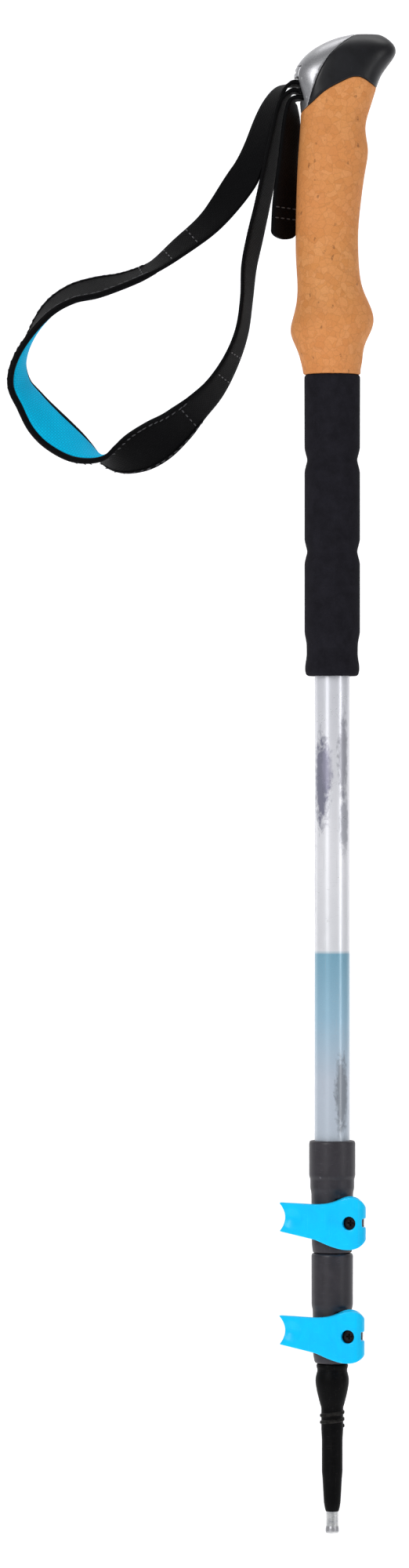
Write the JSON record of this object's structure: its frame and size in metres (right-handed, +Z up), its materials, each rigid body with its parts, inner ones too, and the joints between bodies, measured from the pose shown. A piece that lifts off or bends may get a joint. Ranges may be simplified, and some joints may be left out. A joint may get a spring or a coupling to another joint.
{
  "type": "trekking pole",
  "caption": "Collapsed three-section trekking pole with flip locks, cork and foam grip, wrist strap and carbide flex tip.",
  "frame": {"origin": "bottom centre of the carbide tip, on the pole's axis", "axes": "+Z up along the pole to the handle, +X to the front (the handle's beak), strap towards -X"},
  "size_m": [0.176, 0.0358, 0.6794],
  "materials": {
    "printed_shaft": "silver-white lacquer with a soft blue band",
    "inner_shaft": "satin anodised",
    "cork": "bare pressed cork",
    "foam": "closed-cell foam",
    "head_rubber": "satin soft touch",
    "cap_silver": "satin silver paint",
    "core_plastic": "moulded",
    "lock_plastic": "moulded grey",
    "lever_plastic": "moulded bright blue",
    "steel": "plated",
    "black_steel": "blackened",
    "nylon": "natural nylon",
    "tip_plastic": "moulded black",
    "carbide": "sintered",
    "webbing": "woven polyester",
    "lining": "padded knit"
  },
  "bodies": {
    "handle": {"upper_shaft": "printed_shaft", "shaft_plug": "core_plastic", "grip_core": "core_plastic", "cork_grip": "cork", "grip_head": "head_rubber", "head_cap": "cap_silver", "foam_grip": "foam", "strap_pin": "steel", "strap_anchor": "webbing", "strap_tail": "webbing", "upper_lock_body": "lock_plastic", "upper_lock_screw": "black_steel", "upper_lock_nut": "steel", "upper_lock_barrel": "black_steel", "upper_lock_pad": "nylon"},
    "wedge": {"strap_wedge": "cap_silver"},
    "strap": {"strap_down": "webbing", "strap_hand": "webbing", "strap_up": "webbing", "strap_lining": "lining"},
    "upper_lever": {"upper_lever": "lever_plastic"},
    "middle": {"middle_shaft": "inner_shaft", "middle_bush": "nylon", "lower_lock_body": "lock_plastic", "lower_lock_screw": "black_steel", "lower_lock_nut": "steel", "lower_lock_barrel": "black_steel", "lower_lock_pad": "nylon"},
    "lower_lever": {"lower_lever": "lever_plastic"},
    "lower": {"lower_shaft": "inner_shaft", "lower_bush": "nylon", "flex_tip": "tip_plastic", "tip_ferrule": "steel", "carbide_tip": "carbide"}
  },
  "joints": [
    {"name": "middle_slide", "type": "slide", "parent": "handle", "child": "middle", "axis": [0, 0, -1], "range_m": [0, 0.35]},
    {"name": "lower_slide", "type": "slide", "parent": "middle", "child": "lower", "axis": [0, 0, -1], "range_m": [0, 0.35]},
    {"name": "upper_lever_hinge", "type": "hinge", "parent": "handle", "child": "upper_lever", "pos_m": [0.00849, -0.01345, 0.1415], "axis": [0, 0, 1], "range_deg": [0, 95]},
    {"name": "lower_lever_hinge", "type": "hinge", "parent": "middle", "child": "lower_lever", "pos_m": [0.00791, -0.01332, 0.0903], "axis": [0, 0, 1], "range_deg": [0, 95]},
    {"name": "strap_swing", "type": "hinge", "parent": "handle", "child": "strap", "pos_m": [-0.018, 0, 0.655], "axis": [0, 1, 0], "range_deg": [0, 35]},
    {"name": "wedge_slide", "type": "slide", "parent": "handle", "child": "wedge", "axis": [-1, 0, 0], "range_m": [0, 0.005]}
  ]
}
